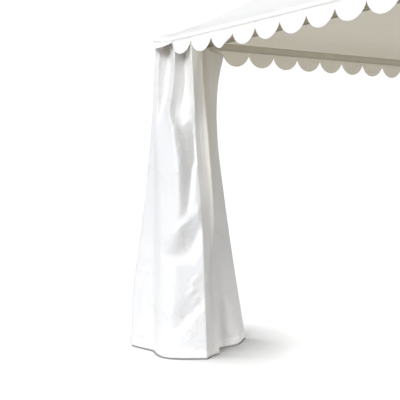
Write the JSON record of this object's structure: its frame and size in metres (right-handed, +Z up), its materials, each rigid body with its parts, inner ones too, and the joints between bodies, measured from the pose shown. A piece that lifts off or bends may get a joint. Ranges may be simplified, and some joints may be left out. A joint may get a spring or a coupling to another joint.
{
  "type": "pagoda tent",
  "caption": "Open square pagoda tent: posts and eave beams, swept-up cloth roof on curved hip rafters, scalloped valances and gathered corner curtains.",
  "frame": {"origin": "middle of the plan, on the ground under the base plates", "axes": "+Z up to the peak; -Y is the front side and +X the right one"},
  "size_m": [4.9042, 4.9042, 4.2547],
  "materials": {
    "frame_tube": "brushed, satin",
    "frame_casting": "cast, matt",
    "base_plate": "galvanised, dull",
    "roof_cloth": "coated polyester, low sheen",
    "valance_cloth": "coated polyester, low sheen",
    "curtain_cloth": "coated polyester, low sheen",
    "peak_cap": "coated polyester over a former"
  },
  "bodies": {
    "root": {"post_front_left": "frame_tube", "base_plate_front_left": "base_plate", "post_head_front_left": "frame_casting", "hip_rafter_front_left": "frame_tube", "post_front_right": "frame_tube", "base_plate_front_right": "base_plate", "post_head_front_right": "frame_casting", "hip_rafter_front_right": "frame_tube", "post_back_right": "frame_tube", "base_plate_back_right": "base_plate", "post_head_back_right": "frame_casting", "hip_rafter_back_right": "frame_tube", "post_back_left": "frame_tube", "base_plate_back_left": "base_plate", "post_head_back_left": "frame_casting", "hip_rafter_back_left": "frame_tube", "eave_beam_front": "frame_tube", "roof_panel_front": "roof_cloth", "valance_front": "valance_cloth", "curtain_front_left_end": "curtain_cloth", "curtain_front_right_end": "curtain_cloth", "eave_beam_right": "frame_tube", "roof_panel_right": "roof_cloth", "valance_right": "valance_cloth", "curtain_right_left_end": "curtain_cloth", "curtain_right_right_end": "curtain_cloth", "eave_beam_back": "frame_tube", "roof_panel_back": "roof_cloth", "valance_back": "valance_cloth", "curtain_back_left_end": "curtain_cloth", "curtain_back_right_end": "curtain_cloth", "eave_beam_left": "frame_tube", "roof_panel_left": "roof_cloth", "valance_left": "valance_cloth", "curtain_left_left_end": "curtain_cloth", "curtain_left_right_end": "curtain_cloth", "crown_block": "frame_casting", "peak_cap": "peak_cap"}
  },
  "joints": []
}
